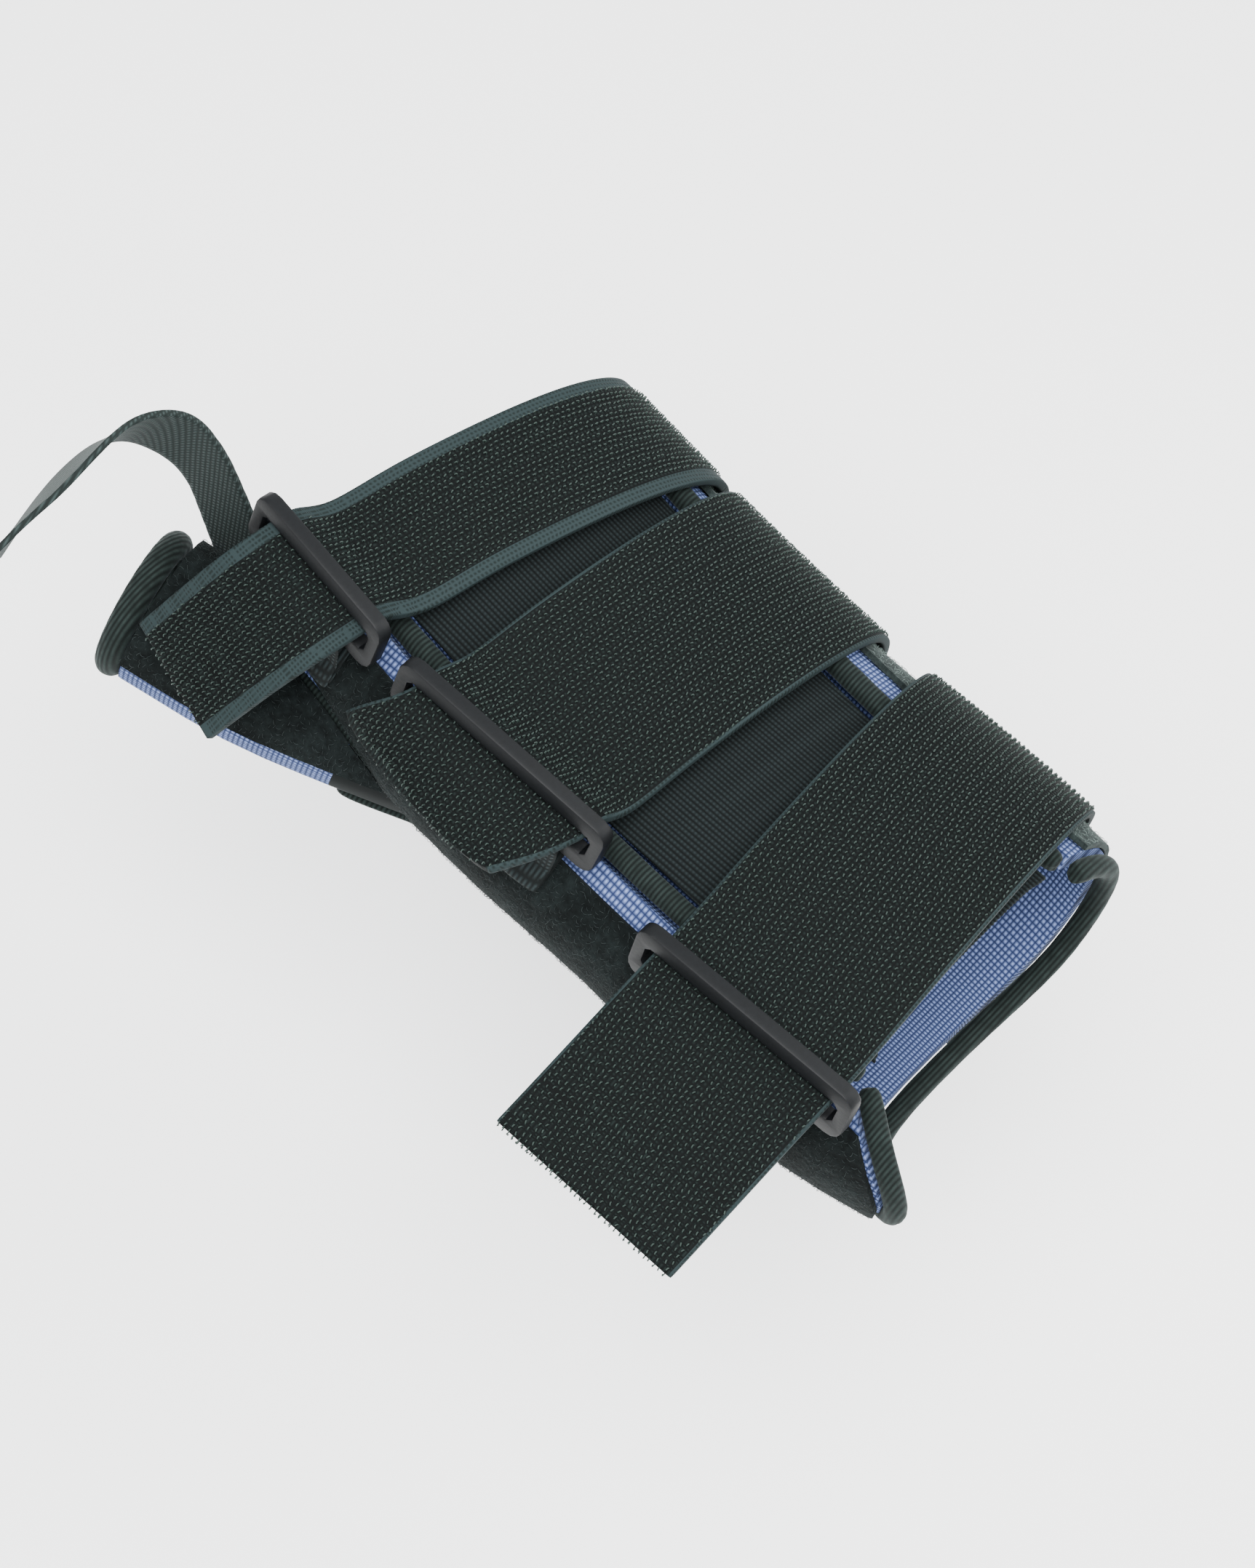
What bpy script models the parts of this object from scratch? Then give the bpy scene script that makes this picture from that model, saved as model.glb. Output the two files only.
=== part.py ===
"""A thumb spica splint for the right hand, held open as it is worn.

Metres. +Y points to the fingers, +Z out of the back of the hand and -X to the thumb. The origin is the
middle of the wrist, inside the hollow. Every layer is worked out from one skin line, the hollow's wall:
each piece lies at an offset above it.
"""

import functools
import math

import bmesh
import bpy
import numpy as np
from mathutils import Matrix, Vector

# Clearance between pieces that touch
GAP = 0.0003

# The hollow, measured on the skin line
REACH_DISTAL = 0.083
DISTAL_FALL = 0.018
REACH_PROXIMAL = 0.060
FLAP_REACH = 0.020
HALF_WIDTH = 0.0402
DORSAL_RISE = 0.0175
PALMAR_DEPTH = 0.0210
SQUARENESS = 2.4

# Layers
SHELL_WALL = 0.0035
PANEL_WALL = 0.0012
PANEL_GAP = 0.0004
DORSAL_WALL = 0.0012
DORSAL_LIFT = 0.0010
DORSAL_SHORT = 0.0040
ROLL_RADIUS = 0.0025
ROLL_LIFT = 0.0030
EDGE_RADIUS = 0.0024
BLUE_STRIP = 0.0042

# Thumb sheath
THUMB_RADIUS = 0.0110
THUMB_REACH = 0.098
THUMB_SPREAD = 0.0485
THUMB_DROP = 0.0090
LIP_RADIUS = 0.0030

# Hook tape straps
STRAP_WALL = 0.0018
STRAP_LIFT = 0.0064
NARROW_STRAP = 0.0270
WIDE_STRAP = 0.0412
NARROW_TAIL = 0.0365
CURLED_TAIL = 0.0195
STRAIGHT_TAIL = 0.0415
STRAP_START = -75.0
END_ROUND = 0.0030
END_SKEW = 0.0110
ROUND_POWER = 6
TAIL_TURN = 0.5
STRAP_LIFTED = 0.5

# Moulded rings and the webbing keepers that hold them
RING_BAR = 0.0040
RING_SIDE = 0.0027
RING_THICK = 0.0032
RING_SLOT = 0.0058
RING_ROUND = 0.0030
RING_EDGE = 0.0005
RING_TILT = 7.0
SLOT_SIDE = 0.0015
SLOT_RISE = 0.0014
SLOT_RUN = 0.0045
KEEPER_WALL = 0.0008
KEEPER_LENGTH = 0.0085
KEEPER_INSET = 0.0020
KEEPER_TURN_RADIUS = 0.0032

# Thumb strap
THUMB_STRAP_WIDTH = 0.0160
THUMB_STRAP_WALL = 0.0012
THUMB_STRAP_LENGTH = 0.0730
THUMB_STRAP_STAND = 0.0040
THUMB_STRAP_SEWN = -0.16
THUMB_STRAP_ROOT = 0.955
THUMB_STRAP_ANGLE = 36.0

# Where the thumb's pieces start and end, as shares of THUMB_REACH, and the angles that its panel covers
CUTTER_ROOT = 0.33
CUTTER_END = 1.2
SHEATH_ROOT = 0.36
THUMB_PANEL_ROOT = 0.40
THUMB_PANEL_FROM = 20.0
THUMB_PANEL_TO = 165.0

# Counts of faces, along and across each piece
SHELL_ROWS = 14
SHELL_COLUMNS = 31
RADIAL_ROWS = 19
RADIAL_COLUMNS = 15
ULNAR_COLUMNS = 17
DORSAL_ROWS = 12
DORSAL_COLUMNS = 10
ROLL_STEPS = 16
PROXIMAL_STEPS = 30
DISTAL_STEPS = 18
CUTTER_SIDES = 36
SHEATH_CUTTER_SIDES = 28
SHEATH_CUTTER_ROWS = 12
THUMB_SIDES = 24
THUMB_ROWS = 9
THUMB_PANEL_COLUMNS = 10
STRAP_STEPS = 10
TAIL_STEPS = 6
KEEPER_COLUMNS = 4
KEEPER_TURNS = 8
THUMB_STRAP_STEPS = 20
THUMB_STRAP_COLUMNS = 4
OUTER_ROUND_STEPS = 3
INNER_ROUND_STEPS = 1

# station: share of the reach, -1 at the proximal end and +1 at the distal end
# width, rise, depth: shares of HALF_WIDTH, DORSAL_RISE and PALMAR_DEPTH; shift, lift: shares of HALF_WIDTH
SECTIONS = (
    # station, width, rise, depth, shift, lift
    (-1.45, 0.86, 1.22, 0.90, -0.010, 0.030),
    (-1.00, 0.98, 1.20, 1.06, -0.030, 0.010),
    (-0.60, 1.00, 1.15, 1.05, -0.034, 0.000),
    (-0.15, 0.98, 1.03, 0.97, -0.030, 0.000),
    (0.25, 1.00, 0.97, 1.00, -0.022, 0.000),
    (0.55, 1.00, 1.08, 1.00, -0.015, 0.050),
    (0.80, 0.99, 1.10, 0.88, 0.005, 0.105),
    (1.10, 0.97, 0.95, 0.78, 0.020, 0.150),
)

# Where the dorsal opening's two edges run, as shares of HALF_WIDTH from the section's middle
OPENING = (
    # station, radial edge, ulnar edge
    (-1.45, -0.80, 0.68),
    (-0.60, -0.79, 0.70),
    (-0.10, -0.78, 0.76),
    (0.45, -0.76, 0.86),
    (1.10, -0.74, 0.88),
)

# Middle line of the thumb sheath: along, share of THUMB_REACH; out, share of THUMB_SPREAD;
# down, share of THUMB_DROP; bore, share of THUMB_RADIUS
THUMB_LINE = (
    # along, out, down, bore
    (0.20, 0.42, 0.80, 1.05),
    (0.40, 0.56, 0.90, 1.05),
    (0.58, 0.73, 0.90, 1.00),
    (0.78, 0.90, 0.80, 0.98),
    (1.00, 1.02, 0.48, 1.02),
)

# place: its ring's, as a share of REACH_DISTAL towards the fingers and of REACH_PROXIMAL up the arm
# slant, turn and foot are angles: the strap's over the hand, its ring's, and where the ring stands
# skew, round: how much longer the free end is at one edge, and how much shorter at both
STRAPS = (
    # name, width, place, slant, turn, foot, tail, skew, round
    ("strap_1", NARROW_STRAP, 0.8506, -13.5, 1.5, 142.5, NARROW_TAIL, 0.0, 0.0),
    ("strap_2", WIDE_STRAP, 0.2771, -6.0, -1.5, 142.0, CURLED_TAIL, END_SKEW, END_ROUND),
    ("strap_3", WIDE_STRAP, -0.7000, 3.5, -1.0, 151.0, STRAIGHT_TAIL, 0.0, 0.0),
)

# Where a strap's lengthwise lines of points run, as shares of its width from its middle
STRAP_LANES = (-0.5, -0.42, -0.2, 0.2, 0.42, 0.5)

# A keeper's plies on the panel: out, share of KEEPER_LENGTH; lift, share of its bend; ply, its layers below
KEEPER_LOWER = (
    # out, lift, ply
    (1.00, 0.00, 0),
    (0.75, 0.00, 0),
    (0.50, 0.00, 0),
)
KEEPER_UPPER = (
    # out, lift, ply
    (0.55, 0.35, 0),
    (0.70, 0.10, 1),
    (0.85, 0.00, 1),
    (1.00, 0.00, 1),
)

# How the upper ply leaves the bar, as shares of its bend
KEEPER_LEAVE = (
    # inward, up
    (-0.48, 0.92),
    (-0.86, 0.45),
)

# How each free end runs on past its ring, in degrees
TAILS = {
    # share of its length, drop below level, turn towards the fingers
    "strap_1": ((0.0, 4.0, 8.0), (0.30, 36.0, 22.0), (1.0, 50.0, 26.0)),
    "strap_2": ((0.0, 2.0, 12.0), (0.40, 22.0, 34.0), (1.0, 42.0, 44.0)),
    "strap_3": ((0.0, 12.0, 0.0), (0.30, 20.0, 0.0), (1.0, 18.0, 0.0)),
}

# Thumb strap's middle line from its root, as shares of THUMB_STRAP_LENGTH, and the way that its width points
THUMB_STRAP_LINE = (
    # along, x, y, z, width x, width y, width z
    (-0.16, 0.004, -0.068, -0.145, -0.16, 0.60, -0.78),
    (0.00, 0.000, 0.000, 0.000, -0.16, 0.56, -0.81),
    (0.14, -0.004, 0.060, 0.125, -0.16, 0.48, -0.86),
    (0.28, -0.019, 0.113, 0.254, -0.16, 0.37, -0.92),
    (0.42, -0.064, 0.184, 0.359, -0.14, 0.22, -0.96),
    (0.52, -0.152, 0.241, 0.406, 0.15, 0.30, -0.94),
    (0.61, -0.235, 0.264, 0.381, 0.38, 0.44, -0.82),
    (0.72, -0.332, 0.280, 0.322, 0.50, 0.50, -0.70),
    (0.86, -0.440, 0.296, 0.246, 0.49, 0.44, -0.75),
    (1.00, -0.564, 0.298, 0.164, 0.42, 0.32, -0.85),
)

# Low edge of the radial loop panel, as an angle: it rises to pass above the thumb's hole
PANEL_LOW = (
    # station, angle
    (-1.45, -125.0),
    (-0.30, -125.0),
    (0.20, -142.0),
    (0.60, -182.0),
    (1.10, -202.0),
)
ULNAR_LOW = -84.0

# Where the distal binding starts, at the palm's side of the thumb's hole
THUMB_GAP = -125.0

# How far the shell's open end runs on up the arm past its dorsal edges, as a share of FLAP_REACH
FLAP = (
    # angle round from the palm's side, share
    (-225.0, 0.00),
    (-205.0, 0.60),
    (-185.0, 0.95),
    (-165.0, 0.80),
    (-130.0, 0.35),
    (-40.0, 0.30),
    (20.0, 0.15),
    (50.0, 0.00),
)


def through(rows, at):
    """The other columns of a table at one value of its first, on a smooth curve through its rows."""
    table = np.array(rows, float)
    place, values = table[:, 0], table[:, 1:]
    slopes = np.gradient(values, place, axis=0)
    k = int(np.clip(np.searchsorted(place, at) - 1, 0, len(place) - 2))
    span = place[k + 1] - place[k]
    u = (at - place[k]) / span
    start, end = values[k], values[k + 1]
    out, into = slopes[k] * span, slopes[k + 1] * span
    return (
        (2 * u**3 - 3 * u**2 + 1) * start
        + (u**3 - 2 * u**2 + u) * out
        + (3 * u**2 - 2 * u**3) * end
        + (u**3 - u**2) * into
    )


def station(y):
    return y / (REACH_DISTAL if y > 0 else REACH_PROXIMAL)


def place_of(share):
    return share * (REACH_DISTAL if share > 0 else REACH_PROXIMAL)


@functools.lru_cache(maxsize=None)
def section(y):
    return through(SECTIONS, station(y))


def skin(y, degrees):
    """Points of the skin line in its own plane: 0 degrees at the ulnar side, 90 at the back of the hand."""
    width, rise, depth, shift, lift = section(y)
    c, s = np.cos(np.radians(degrees)), np.sin(np.radians(degrees))
    power = 2 / SQUARENESS
    height = np.where(s >= 0, rise * DORSAL_RISE, depth * PALMAR_DEPTH)
    x = shift * HALF_WIDTH + width * HALF_WIDTH * np.sign(c) * np.abs(c) ** power
    z = lift * HALF_WIDTH + height * np.sign(s) * np.abs(s) ** power
    return np.stack((x, z), axis=-1)


def outward(y, degrees):
    """The skin line's normal in its plane."""
    step = 1.5
    run = skin(y, degrees + step) - skin(y, degrees - step)
    return np.array((run[1], -run[0])) / np.linalg.norm(run)


def surface(y, degrees, offset):
    """The point of the body at this angle and this height above the skin line."""
    x, z = skin(y, degrees) + outward(y, degrees) * offset
    return np.array((x, y, z))


def angle_of(y, share, side):
    """The angle at which the dorsal skin line lies at a share of HALF_WIDTH from the section's middle."""
    level = min(abs(share) / section(y)[0], 0.999) ** (SQUARENESS / 2)
    angle = math.degrees(math.acos(level))
    return angle if side > 0 else 180 - angle


@functools.lru_cache(maxsize=None)
def edge_angles(y):
    """The angles of the opening's radial and ulnar edges."""
    radial, ulnar = through(OPENING, station(y))
    return angle_of(y, radial, -1), angle_of(y, ulnar, 1)


def walked(y, degrees, distance):
    """The angle reached after going a distance along the skin line, towards the thumb side where positive."""
    angles = np.linspace(degrees - 120, degrees + 120, 481)
    steps = np.linalg.norm(np.diff(skin(y, angles), axis=0), axis=1)
    lengths = np.concatenate([[0], np.cumsum(steps)])
    here = np.interp(degrees, angles, lengths)
    return float(np.interp(here + distance, lengths, angles))


def material(name, colour, roughness):
    made = bpy.data.materials.new(name)
    made.use_nodes = True
    shader = made.node_tree.nodes["Principled BSDF"]
    shader.inputs["Base Color"].default_value = (*colour, 1)
    shader.inputs["Roughness"].default_value = roughness
    return made


def placed(name, mesh, look, home):
    obj = bpy.data.objects.new(name, mesh)
    mesh.materials.append(look)
    home.objects.link(obj)
    return obj


def sheet(name, grid, wall, look, home, closed=False):
    """A wall on a grid of points, thickened to both sides alike. closed joins the last column to the first."""
    bm = bmesh.new()
    rows = [[bm.verts.new(p) for p in row] for row in grid]
    for low, high in zip(rows, rows[1:]):
        count = len(low)
        for j in range(count if closed else count - 1):
            k = (j + 1) % count
            bm.faces.new((low[j], low[k], high[k], high[j]))
    mesh = bpy.data.meshes.new(name)
    bm.to_mesh(mesh)
    bm.free()
    mesh.shade_smooth()
    obj = placed(name, mesh, look, home)
    thick = obj.modifiers.new("wall", "SOLIDIFY")
    thick.thickness = wall
    thick.offset = 0
    return obj


def tube(name, points, radius, look, home, cyclic=False):
    curve = bpy.data.curves.new(name, "CURVE")
    curve.dimensions = "3D"
    curve.bevel_depth = radius
    curve.bevel_resolution = 2
    curve.use_fill_caps = True
    spline = curve.splines.new("POLY")
    spline.points.add(len(points) - 1)
    for slot, p in zip(spline.points, points):
        slot.co = (*p, 1)
    spline.use_cyclic_u = cyclic
    return placed(name, curve, look, home)


def rounded(half_x, half_y, radius, steps):
    """The outline of a rectangle with round corners."""
    points = []
    for quarter, (sx, sy) in enumerate(((1, 1), (-1, 1), (-1, -1), (1, -1))):
        for k in range(steps + 1):
            a = math.radians(90 * (quarter + k / steps))
            x = sx * (half_x - radius) + radius * math.cos(a)
            y = sy * (half_y - radius) + radius * math.sin(a)
            points.append((x, y))
    return points


def cut(obj, cutter):
    modifier = obj.modifiers.new(cutter.name, "BOOLEAN")
    modifier.operation = "DIFFERENCE"
    modifier.object = cutter
    modifier.solver = "EXACT"


def smooth_rows(points, parts):
    """Points on a smooth curve through the given ones."""
    rows = [(k, *p) for k, p in enumerate(points)]
    count = (len(points) - 1) * parts
    return [through(rows, k / parts) for k in range(count + 1)]


def proximal_edge(degrees):
    """How far the shell reaches up the arm: its flap on the thumb's side runs on past the dorsal edges."""
    angle = np.clip(degrees - 360 if degrees > 90 else degrees, FLAP[0][0], FLAP[-1][0])
    return -REACH_PROXIMAL - FLAP_REACH * float(through(FLAP, angle)[0])


def distal_edge(degrees):
    """How far it reaches along the hand: less on the side of the little finger."""
    return REACH_DISTAL - DISTAL_FALL * (0.5 + 0.5 * math.cos(math.radians(degrees)))


def shell_grid(low_edge, high_edge, offset, columns, count):
    """A grid that covers the body between two angles, from the arm's end to the fingers'."""
    rows = []
    for k in range(count + 1):
        row = []
        for j in range(columns + 1):
            share = j / columns
            guess = low_edge(0.0) + (high_edge(0.0) - low_edge(0.0)) * share
            start, end = proximal_edge(guess), distal_edge(guess)
            y = start + (end - start) * k / count
            angle = low_edge(y) + (high_edge(y) - low_edge(y)) * share
            row.append(surface(y, angle, offset))
        rows.append(row)
    return rows


def radial_edge(y):
    """The shell's radial edge, as an angle that follows on from its ulnar edge round the palm."""
    return edge_angles(y)[0] - 360


def ulnar_edge(y):
    return edge_angles(y)[1]


def thumb_frame(along):
    """Middle of the sheath there, the way it runs, and its bore."""
    def middle(a):
        out, down, bore = through(THUMB_LINE, a)
        return np.array((-out * THUMB_SPREAD, a * THUMB_REACH, -down * THUMB_DROP)), bore * THUMB_RADIUS
    here, bore = middle(along)
    run = middle(along + 0.01)[0] - middle(along - 0.01)[0]
    return here, run / np.linalg.norm(run), bore


def thumb_point(along, degrees, offset):
    """A point round the sheath: 0 degrees towards the palm's middle, 90 upwards."""
    here, run, bore = thumb_frame(along)
    side = np.cross(run, (0, 0, 1))
    side = side / np.linalg.norm(side)
    up = np.cross(side, run)
    c, s = math.cos(math.radians(degrees)), math.sin(math.radians(degrees))
    return here + (side * c + up * s) * (bore + offset)


def closed_solid(name, rings, look, home):
    """A solid lofted through rings of points, its ends closed, for cutting with."""
    bm = bmesh.new()
    rows = [[bm.verts.new(p) for p in ring] for ring in rings]
    for low, high in zip(rows, rows[1:]):
        for j in range(len(low)):
            k = (j + 1) % len(low)
            bm.faces.new((low[j], low[k], high[k], high[j]))
    bm.faces.new(rows[0][::-1])
    bm.faces.new(rows[-1])
    bmesh.ops.recalc_face_normals(bm, faces=bm.faces)
    mesh = bpy.data.meshes.new(name)
    bm.to_mesh(mesh)
    bm.free()
    obj = placed(name, mesh, look, home)
    obj.hide_render = True
    obj.display_type = "WIRE"
    return obj


for obj in list(bpy.data.objects):
    bpy.data.objects.remove(obj)
splint = bpy.data.collections.new("thumb_spica_splint")
cutters = bpy.data.collections.new("cutters")
cutters.hide_render = True
bpy.context.scene.collection.children.link(splint)
bpy.context.scene.collection.children.link(cutters)

MESH_BLUE = material("spacer_mesh", (0.20, 0.25, 0.50), 0.9)
LOOP_BLACK = material("loop_fabric", (0.016, 0.022, 0.023), 0.95)
ELASTIC = material("ribbed_elastic", (0.030, 0.038, 0.040), 0.85)
ROLL = material("binding", (0.022, 0.030, 0.030), 0.8)
HOOK = material("hook_tape", (0.015, 0.023, 0.022), 0.8)
PLASTIC = material("ring_plastic", (0.040, 0.043, 0.055), 0.45)
WEBBING = material("webbing", (0.020, 0.026, 0.027), 0.8)


def turn_round(count):
    return [360 * k / count for k in range(count)]


def build_cutters():
    top = SHELL_WALL + GAP
    places = np.linspace(-REACH_PROXIMAL, REACH_DISTAL + GAP, SHELL_ROWS)

    def body_solid(name, height):
        rows = [[surface(y, a, height) for a in turn_round(CUTTER_SIDES)] for y in places]
        return closed_solid(name, rows, LOOP_BLACK, cutters)

    body = body_solid("body_cutter", top)
    cover = body_solid("cover_cutter", top + PANEL_WALL + GAP)
    alongs = np.linspace(CUTTER_ROOT, CUTTER_END, SHEATH_CUTTER_ROWS)
    rows = [[thumb_point(a, b, top) for b in turn_round(SHEATH_CUTTER_SIDES)] for a in alongs]
    sheath = closed_solid("thumb_cutter", rows, LOOP_BLACK, cutters)
    return body, cover, sheath


def build_shell(thumb_cutter):
    grid = shell_grid(radial_edge, ulnar_edge, SHELL_WALL / 2, SHELL_COLUMNS, SHELL_ROWS)
    shell = sheet("shell", grid, SHELL_WALL, MESH_BLUE, splint)
    cut(shell, thumb_cutter)


def build_panels(thumb_cutter):
    lift = SHELL_WALL + PANEL_GAP + PANEL_WALL / 2

    def radial_top(y):
        return walked(y, edge_angles(y)[0], BLUE_STRIP) - 360

    def radial_low(y):
        return float(through(PANEL_LOW, station(y))[0])

    def ulnar_top(y):
        return walked(y, edge_angles(y)[1], -BLUE_STRIP)

    radial = sheet(
        "loop_panel_radial",
        shell_grid(radial_top, radial_low, lift, RADIAL_COLUMNS, RADIAL_ROWS),
        PANEL_WALL,
        LOOP_BLACK,
        splint,
    )
    cut(radial, thumb_cutter)
    sheet(
        "loop_panel_ulnar",
        shell_grid(lambda y: ULNAR_LOW, ulnar_top, lift, ULNAR_COLUMNS, SHELL_ROWS),
        PANEL_WALL,
        LOOP_BLACK,
        splint,
    )


def roll_line(y, side):
    """Middle of the rolled binding beside an opening edge, at this place along the arm."""
    radial, ulnar = edge_angles(y)
    away = ROLL_RADIUS + GAP
    if side < 0:
        return surface(y, walked(y, radial, -away), ROLL_LIFT)
    return surface(y, walked(y, ulnar, away), ROLL_LIFT)


def build_dorsal():
    for name, side, edge in (("binding_radial", -1, 0), ("binding_ulnar", 1, 1)):
        angle = edge_angles(0.0)[edge]
        places = np.linspace(proximal_edge(angle), distal_edge(angle), ROLL_STEPS + 1)
        tube(name, [roll_line(y, side) for y in places], ROLL_RADIUS, ROLL, splint)
    inset = 2 * (ROLL_RADIUS + GAP)
    rows = []
    for k in range(DORSAL_ROWS + 1):
        row = []
        for j in range(DORSAL_COLUMNS + 1):
            share = j / DORSAL_COLUMNS
            guess = edge_angles(0.0)[0] * (1 - share) + edge_angles(0.0)[1] * share
            low, high = proximal_edge(guess), distal_edge(guess) - DORSAL_SHORT
            y = low + (high - low) * k / DORSAL_ROWS
            radial, ulnar = edge_angles(y)
            start, end = walked(y, radial, -inset), walked(y, ulnar, inset)
            row.append(surface(y, start + (end - start) * share, DORSAL_LIFT))
        rows.append(row)
    sheet("dorsal_panel", rows, DORSAL_WALL, ELASTIC, splint)


def build_thumb(body_cutter, cover_cutter):
    around = turn_round(THUMB_SIDES)
    alongs = np.linspace(SHEATH_ROOT, 1.0, THUMB_ROWS + 1)
    rows = [[thumb_point(a, b, SHELL_WALL / 2) for b in around] for a in alongs]
    sheath = sheet("thumb_sheath", rows, SHELL_WALL, MESH_BLUE, splint, closed=True)
    cut(sheath, body_cutter)
    lift = SHELL_WALL + PANEL_GAP + PANEL_WALL / 2
    angles = np.linspace(THUMB_PANEL_FROM, THUMB_PANEL_TO, THUMB_PANEL_COLUMNS + 1)
    alongs = np.linspace(THUMB_PANEL_ROOT, 1.0, THUMB_ROWS + 1)
    cover_rows = [[thumb_point(a, b, lift) for b in angles] for a in alongs]
    cover = sheet("thumb_panel", cover_rows, PANEL_WALL, LOOP_BLACK, splint)
    cut(cover, cover_cutter)
    rim = 1.0 + (LIP_RADIUS + GAP) / THUMB_REACH
    mouth = [thumb_point(rim, b, SHELL_WALL / 2) for b in around]
    tube("thumb_lip", mouth, LIP_RADIUS, ROLL, splint, cyclic=True)


def on_panel(place, turn, foot, along, out, height):
    """A point above the radial panel: along and out from the middle of a ring's foot, turned as the ring is."""
    bend = math.radians(turn)
    y = place + along * math.cos(bend)
    return surface(y, walked(y, foot, out - along * math.sin(bend)), height)


def strap_frame(width, place, turn, foot):
    """Where a ring stands: the middle of its foot bar, the way up through it and the way along it."""
    height = SHELL_WALL + PANEL_WALL + 4 * GAP + KEEPER_WALL + KEEPER_TURN_RADIUS
    low = on_panel(place, turn, foot, -width / 2, 0.0, height)
    middle = on_panel(place, turn, foot, 0.0, 0.0, height)
    high = on_panel(place, turn, foot, width / 2, 0.0, height)
    along = (high - low) / np.linalg.norm(high - low)
    tilt = math.radians(RING_TILT)
    up = np.array((math.sin(tilt), 0.0, math.cos(tilt)))
    up = up - along * up.dot(along)
    chord = (low + high) / 2
    base = middle if up.dot(middle - chord) > 0 else chord
    return base, up / np.linalg.norm(up), along


def build_ring(name, base, up, along, length):
    curve = bpy.data.curves.new(name, "CURVE")
    curve.dimensions = "2D"
    curve.fill_mode = "BOTH"
    curve.extrude = RING_THICK / 2 - RING_EDGE
    curve.bevel_depth = RING_EDGE
    curve.bevel_resolution = 1
    curve.offset = -RING_EDGE
    height = RING_SLOT + 2 * RING_BAR
    outer = rounded(length / 2, height / 2, RING_ROUND, OUTER_ROUND_STEPS)
    inner = rounded(length / 2 - RING_SIDE, RING_SLOT / 2, RING_ROUND / 3, INNER_ROUND_STEPS)
    for outline in (outer, inner):
        spline = curve.splines.new("POLY")
        spline.points.add(len(outline) - 1)
        for slot, (x, y) in zip(spline.points, outline):
            slot.co = (x, y, 0, 1)
        spline.use_cyclic_u = True
    ring = placed(name, curve, PLASTIC, splint)
    middle = base + up * (RING_SLOT + RING_BAR) / 2
    facing = np.cross(along, up)
    turned = Matrix((Vector(along), Vector(up), Vector(facing))).transposed()
    ring.matrix_world = Matrix.Translation(Vector(middle)) @ turned.to_4x4()


def build_keeper(name, base, along, place, turn, foot, width):
    """Webbing folded round the ring's foot bar, its two plies lying on the panel towards the thumb."""
    bend = KEEPER_TURN_RADIUS + KEEPER_WALL / 2
    ground = SHELL_WALL + PANEL_WALL + 3 * GAP + KEEPER_WALL / 2
    lanes = [(width - 2 * KEEPER_INSET) * (k / KEEPER_COLUMNS - 0.5) for k in range(KEEPER_COLUMNS + 1)]
    up = surface(place, foot, ground) - surface(place, foot, 0.0)
    up = up - along * up.dot(along)
    up /= np.linalg.norm(up)
    inward = np.cross(along, up)

    def plies(table):
        made = []
        for out, lift, ply in table:
            height = ground + lift * bend + ply * (KEEPER_WALL + GAP)
            made.append([on_panel(place, turn, foot, w, out * KEEPER_LENGTH, height) for w in lanes])
        return made

    rows = plies(KEEPER_LOWER)
    loop = [(math.sin(a), -math.cos(a)) for a in np.linspace(0, math.pi, KEEPER_TURNS + 1)]
    for x, z in (*loop, *KEEPER_LEAVE):
        rows.append([base + along * w + (inward * x + up * z) * bend for w in lanes])
    rows += plies(KEEPER_UPPER)
    return sheet(name, rows, KEEPER_WALL, WEBBING, splint)


def tail_across(run, along, turned):
    """The way across a free end: as the ring lies at its root, and square to its own run further out."""
    across = np.cross((0, 0, 1), run)
    across = across / np.linalg.norm(across)
    across = across if across[1] > 0 else -across
    return along * (1 - turned) + across * turned


def build_strap(name, width, place, slant, turn, foot, tail, skew, round_off):
    """Hook tape from its sewn end on the ulnar side, over the back of the hand, through its ring and on."""
    base, up, along = strap_frame(width, place, turn, foot)
    slot = base + up * ((RING_SLOT + RING_BAR) / 2 + SLOT_RISE)
    slope = math.tan(math.radians(slant))
    stretch = 1 / math.cos(math.radians(slant))
    leave = walked(place, edge_angles(place)[0], -3 * ROLL_RADIUS)
    sewn = SHELL_WALL + PANEL_GAP + PANEL_WALL + 2 * GAP
    columns = [width * share for share in STRAP_LANES]
    lanes = [[] for _ in columns]
    for k in range(STRAP_STEPS + 1):
        share = k / STRAP_STEPS
        angle = STRAP_START + (leave - STRAP_START) * share
        x = skin(place, angle)[0]
        y = place + slope * (x - slot[0])
        lift = sewn + (STRAP_LIFT - sewn) * min(1.0, share / STRAP_LIFTED)
        for lane, w in zip(lanes, columns):
            lane.append(surface(y + w * stretch, angle, lift + STRAP_WALL / 2))
    inward = np.cross(along, up)
    for lane, w in zip(lanes, columns):
        lane.append(slot + along * w + inward * SLOT_RUN)
        lane.append(slot + along * w)
    here = slot.copy()
    for k in range(1, TAIL_STEPS + 1):
        drop, bend = np.radians(through(TAILS[name], (k - 0.5) / TAIL_STEPS))
        level = np.array((-math.cos(bend), math.sin(bend), 0.0))
        run = level * math.cos(drop) - np.array((0, 0, math.sin(drop)))
        here = here + run * tail / TAIL_STEPS
        across = tail_across(run, along, TAIL_TURN * k / TAIL_STEPS)
        for lane, w in zip(lanes, columns):
            longer = (skew * w / width - round_off * (2 * w / width) ** ROUND_POWER) * k / TAIL_STEPS
            lane.append(here + across * w + run * longer)
    grid = [smooth_rows(lane, 2) for lane in lanes]
    return sheet(name, grid, STRAP_WALL, HOOK, splint)


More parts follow.
